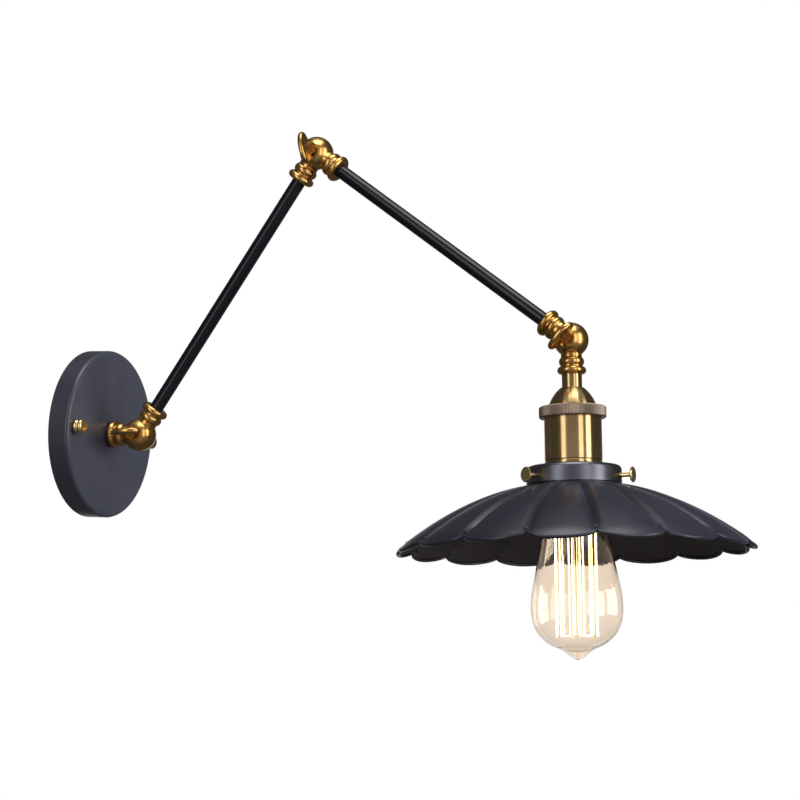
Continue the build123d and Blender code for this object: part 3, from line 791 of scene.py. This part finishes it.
    def build_collar(self) -> bpy.types.Object:
        """Make the collar that stands inside the gallery, with its shoulder.

        Returns:
            The collar's sheet.
        """
        deselect_all()
        height = self.shoulder - self.collar_top
        bpy.ops.mesh.primitive_cylinder_add(
            vertices=self.collar_sides, radius=self.collar_r * MM, depth=height * MM,
            end_fill_type="NOTHING", location=(0, 0, -(self.shoulder + self.collar_top) / 2 * MM))
        collar = bpy.context.object
        bpy.ops.object.transform_apply(location=True, rotation=True, scale=True)
        select_points(collar, lambda point: abs(point.z + self.shoulder * MM) < MERGE)
        bpy.ops.object.mode_set(mode="EDIT")
        bpy.ops.mesh.extrude_edges_move()
        wider = (self.inner_r + self.thickness) / self.collar_r
        bpy.ops.transform.resize(value=(wider, wider, 1), center_override=(0, 0, 0))
        bpy.ops.object.mode_set(mode="OBJECT")
        return collar

    def repeat(self, piece: bpy.types.Object) -> None:
        """Copy a petal's piece round the axis and merge the copies where they meet.

        Args:
            piece: the piece of one petal.
        """
        make_active(piece)
        bpy.ops.object.mode_set(mode="EDIT")
        bpy.ops.mesh.select_all(action="SELECT")
        bpy.ops.mesh.spin(steps=self.petals, dupli=True, use_auto_merge=False, angle=2 * math.pi,
                          center=(0, 0, 0), axis=(0, 0, 1))
        bpy.ops.mesh.select_all(action="SELECT")
        bpy.ops.mesh.remove_doubles(threshold=MERGE)
        bpy.ops.mesh.normals_make_consistent(inside=False)
        bpy.ops.object.mode_set(mode="OBJECT")

    def build(self) -> None:
        """Build the shade, dress it and let it stand for its CAD node."""
        petal = self.build_petal()
        hem = self.build_hem(petal)
        curl = self.build_curl()
        for piece in (petal, hem, curl):
            self.repeat(piece)
        self.face_up(petal)
        collar = self.build_collar()
        for piece in (petal, hem, curl, collar):
            # Inner faces get the lighter copy of the paint, painted light for the inside of the lamp shade.
            Finish.CHARCOAL.dress(piece, Finish.LINING)
        for piece in (petal, collar):
            apply_modifier(piece, "SOLIDIFY", thickness=self.thickness * MM, offset=-1.0, material_offset=1)
        shade = join(petal, hem, curl, collar)
        turn = Matrix.Rotation(math.radians(self.angle + 180 / self.petals), 4, "Z")
        place(shade, self.axis.matrix() @ turn)
        smooth(shade, self.sharp)
        finish_piece(shade, "umbrella_shade", "head", "charcoal_paint", "shade")


@dataclass
class KnurledRing:
    """The ring round the top of the lamp holder, knurled on its outside.

    Its sizes are in millimetres, and its top is measured down from the head knuckle.
    """

    axis: HeadAxis
    radius: float = 23.6
    bore: float = 20.3
    lip: float = 17.6
    top: float = 47.4
    height: float = 8.0
    lip_height: float = 1.1
    ridges: int = 150
    depth: float = 0.3
    edge: float = 0.8
    sharp: float = 20.0

    def build(self) -> None:
        """Build the ring, dress it and let it stand for its CAD node."""
        deselect_all()
        side = self.height - 2 * self.edge
        bpy.ops.mesh.primitive_cylinder_add(
            vertices=2 * self.ridges, radius=self.radius * MM, depth=side * MM, end_fill_type="NOTHING",
            location=(0, 0, -(self.top + self.height / 2) * MM))
        ring = bpy.context.object
        bpy.ops.object.transform_apply(location=True, rotation=True, scale=True)
        self.cut_ridges(ring)
        upper = -(self.top + self.edge)
        lower = upper - side
        self.fold(ring, upper, [
            (self.radius - self.edge, self.edge), (self.lip, 0), (self.lip, -self.lip_height),
            (self.bore, 0), (self.bore, self.lip_height - self.height)])
        self.fold(ring, lower, [(self.radius - self.edge, -self.edge), (self.bore, 0)])
        bpy.ops.object.mode_set(mode="EDIT")
        bpy.ops.mesh.select_all(action="SELECT")
        bpy.ops.mesh.remove_doubles(threshold=MERGE)
        bpy.ops.mesh.normals_make_consistent(inside=False)
        bpy.ops.object.mode_set(mode="OBJECT")
        place(ring, self.axis.matrix())
        smooth(ring, self.sharp)
        Finish.BRONZE.dress(ring)
        finish_piece(ring, "knurled_ring", "head", "dark_bronze", "socket_ring")

    def cut_ridges(self, ring: bpy.types.Object) -> None:
        """Press every second side line inwards.

        Args:
            ring: the ring's plain side.
        """
        step = math.pi / self.ridges
        select_points(ring, lambda point: bool(round(math.atan2(point.y, point.x) / step) % 2))
        bpy.ops.object.mode_set(mode="EDIT")
        inward = 1 - self.depth / self.radius
        bpy.ops.transform.resize(value=(inward, inward, 1), center_override=(0, 0, 0))
        bpy.ops.object.mode_set(mode="OBJECT")

    def fold(self, ring: bpy.types.Object, level: float, stations: list[tuple[float, float]]) -> None:
        """Carry an open edge of the ring through a run of radii.

        Args:
            ring: the ring.
            level: the height of the edge that is carried.
            stations: each next radius, with how far it rises.
        """
        select_points(ring, lambda point: abs(point.z - level * MM) < MERGE)
        bpy.ops.object.mode_set(mode="EDIT")
        radius = self.radius
        for wanted, rise in stations:
            bpy.ops.mesh.extrude_edges_move(TRANSFORM_OT_translate={"value": (0, 0, rise * MM)})
            share = wanted / radius
            bpy.ops.transform.resize(value=(share, share, 1), center_override=(0, 0, 0))
            radius = wanted
        bpy.ops.object.mode_set(mode="OBJECT")


# Camera, lights and background


@dataclass(frozen=True)
class SoftBox:
    """A rectangular light that faces the lamp.

    Its place is a bearing to the right of the camera, as seen from the lamp, a rise above the level and
    a distance. A glow of 1 makes its face white. Mirrors don't show a box that isn't mirrored.
    """

    name: str
    bearing: float
    rise: float
    distance: float
    width: float
    height: float
    glow: float
    mirrored: bool = True


@dataclass(frozen=True)
class Patch:
    """A soft round patch of the surroundings that mirrors see.

    Its place is a bearing and a rise as for a soft box. It starts to show, and is full, at these cosines of
    the angle from its middle.
    """

    bearing: float
    rise: float
    start: float
    full: float
    glow: float


@dataclass
class Studio:
    """Camera, lights and background."""

    camera_place: tuple[float, float, float] = (1.01311, -1.70027, -0.17443)
    azimuth: float = 24.057
    elevation: float = -6.191
    roll: float = 3.131
    lens: float = 117.0
    sensor: float = 36.0
    target: tuple[float, float, float] = (0.3, 0.0, 0.0)
    fill_colour: Colour = (0.95, 0.96, 1.0, 1.0)
    fill: float = 0.2
    room: float = 0.09
    patches: tuple[Patch, ...] = (
        Patch(bearing=0, rise=0, start=0.2, full=0.95, glow=0.32),
        Patch(bearing=0, rise=90, start=0.8, full=0.97, glow=0.6),
        Patch(bearing=180, rise=0, start=0.92, full=0.99, glow=1.0),
    )
    boxes: tuple[SoftBox, ...] = (
        SoftBox("left strip", bearing=-41, rise=12, distance=1.7, width=0.55, height=1.6, glow=2.2),
        SoftBox("right strip", bearing=29, rise=12, distance=1.7, width=0.5, height=1.6, glow=2.2),
        SoftBox("far right strip", bearing=60, rise=12, distance=1.7, width=0.55, height=1.6, glow=4.2),
        SoftBox("top box", bearing=0, rise=78, distance=1.7, width=1.1, height=0.9, glow=5.0),
        SoftBox("right wash", bearing=95, rise=10, distance=1.8, width=1.2, height=1.2, glow=9.0,
                mirrored=False),
    )

    def add_camera(self) -> None:
        """Stand the camera where the photograph was taken from."""
        back = self.way(0, self.elevation)
        level = self.way(90, 0)
        raised = back.cross(level)
        roll = math.radians(self.roll)
        right = level * math.cos(roll) + raised * math.sin(roll)
        up = raised * math.cos(roll) - level * math.sin(roll)
        turn = Matrix((right, up, back)).transposed().to_4x4()
        data = bpy.data.cameras.new("photo camera")
        data.lens = self.lens
        data.sensor_width = self.sensor
        camera = bpy.data.objects.new("photo camera", data)
        camera.matrix_world = Matrix.Translation(self.camera_place) @ turn
        bpy.context.scene.collection.objects.link(camera)
        bpy.context.scene.camera = camera

    def way(self, bearing: float, rise: float) -> Vector:
        """Find a direction from the lamp.

        Args:
            bearing: degrees to the right of the camera.
            rise: degrees above the level.

        Returns:
            The direction, of length 1.
        """
        around = math.radians(self.azimuth + bearing)
        up = math.radians(rise)
        return Vector((math.sin(around) * math.cos(up), -math.cos(around) * math.cos(up), math.sin(up)))

    def add_box(self, box: SoftBox) -> None:
        """Hang a soft box and turn it to the lamp.

        Args:
            box: the soft box.
        """
        way = self.way(box.bearing, box.rise)
        data = bpy.data.lights.new(box.name, "AREA")
        data.shape = "RECTANGLE"
        data.size = box.width
        data.size_y = box.height
        data.energy = box.glow * math.pi * box.width * box.height
        light = bpy.data.objects.new(box.name, data)
        light.location = Vector(self.target) + way * box.distance
        light.rotation_euler = (-way).to_track_quat("-Z", "Y").to_euler()
        light.visible_glossy = box.mirrored
        bpy.context.scene.collection.objects.link(light)

    def background(self, graph: Graph, colour: Colour, strength: float) -> bpy.types.NodeSocket:
        """Add a plain background shader.

        Args:
            graph: the node tree.
            colour: its colour.
            strength: its brightness, where 1 is as the colour says.

        Returns:
            The shader's output.
        """
        node = graph.add("ShaderNodeBackground")
        node.inputs["Color"].default_value = colour
        node.inputs["Strength"].default_value = strength
        return node.outputs["Background"]

    def add_world(self) -> None:
        """Give a white backdrop, also seen through glass, a soft fill, and a dim room for mirrors.

        The patches brighten the room on the camera's side, overhead, and where the backdrop stands.
        """
        world = bpy.data.worlds.new("studio")
        bpy.context.scene.world = world
        world.use_nodes = True
        graph = Graph(world.node_tree)
        white = self.background(graph, WHITE, 1.0)
        fill = self.background(graph, self.fill_colour, self.fill)
        mirrored = self.background(graph, WHITE, self.room)
        for patch in self.patches:
            mirrored = self.blend(graph, self.facing(graph, patch), mirrored,
                                  self.background(graph, WHITE, patch.glow))
        path = graph.add("ShaderNodeLightPath")
        seen = graph.add("ShaderNodeMath", operation="MAXIMUM")
        graph.link(path.outputs["Is Camera Ray"], seen.inputs[0])
        graph.link(path.outputs["Is Transmission Ray"], seen.inputs[1])
        unseen = self.blend(graph, path.outputs["Is Glossy Ray"], fill, mirrored)
        surface = self.blend(graph, seen.outputs["Value"], unseen, white)
        graph.link(surface, graph.add("ShaderNodeOutputWorld").inputs["Surface"])

    def facing(self, graph: Graph, patch: Patch) -> bpy.types.NodeSocket:
        """Mark the part of the background that a patch covers.

        Args:
            graph: the node tree.
            patch: the patch.

        Returns:
            The output that gives the mark, from 0 outside to 1 in its middle.
        """
        toward = graph.add("ShaderNodeVectorMath", operation="DOT_PRODUCT")
        toward.inputs[1].default_value = self.way(patch.bearing, patch.rise)
        mark = graph.add("ShaderNodeMapRange", interpolation_type="SMOOTHSTEP")
        mark.inputs["From Min"].default_value = patch.start
        mark.inputs["From Max"].default_value = patch.full
        graph.link(graph.add("ShaderNodeTexCoord").outputs["Generated"], toward.inputs[0])
        graph.link(toward.outputs["Value"], mark.inputs["Value"])
        return mark.outputs["Result"]

    def blend(self, graph: Graph, share: bpy.types.NodeSocket, first: bpy.types.NodeSocket,
              second: bpy.types.NodeSocket) -> bpy.types.NodeSocket:
        """Mix two shaders.

        Args:
            graph: the node tree.
            share: how much of the second one shows.
            first: the shader at share 0.
            second: the shader at share 1.

        Returns:
            The mixed shader's output.
        """
        mix = graph.add("ShaderNodeMixShader")
        graph.link(share, mix.inputs["Fac"])
        graph.link(first, mix.inputs[1])
        graph.link(second, mix.inputs[2])
        return mix.outputs["Shader"]

    def build(self) -> None:
        """Set the stage."""
        bpy.context.scene.view_settings.view_transform = "Standard"
        self.add_camera()
        self.add_world()
        for box in self.boxes:
            self.add_box(box)


def main() -> None:
    """Build the looks in order."""
    logging.basicConfig(level=logging.INFO, format="%(message)s")
    build_tone_group()
    build_grain_group()
    build_lathe_group()
    for assembly in CAD_ASSEMBLIES:
        assembly.dress()
    axis = HeadAxis()
    UmbrellaShade(axis).build()
    KnurledRing(axis).build()
    Studio().build()


if __name__ == "__main__":
    main()
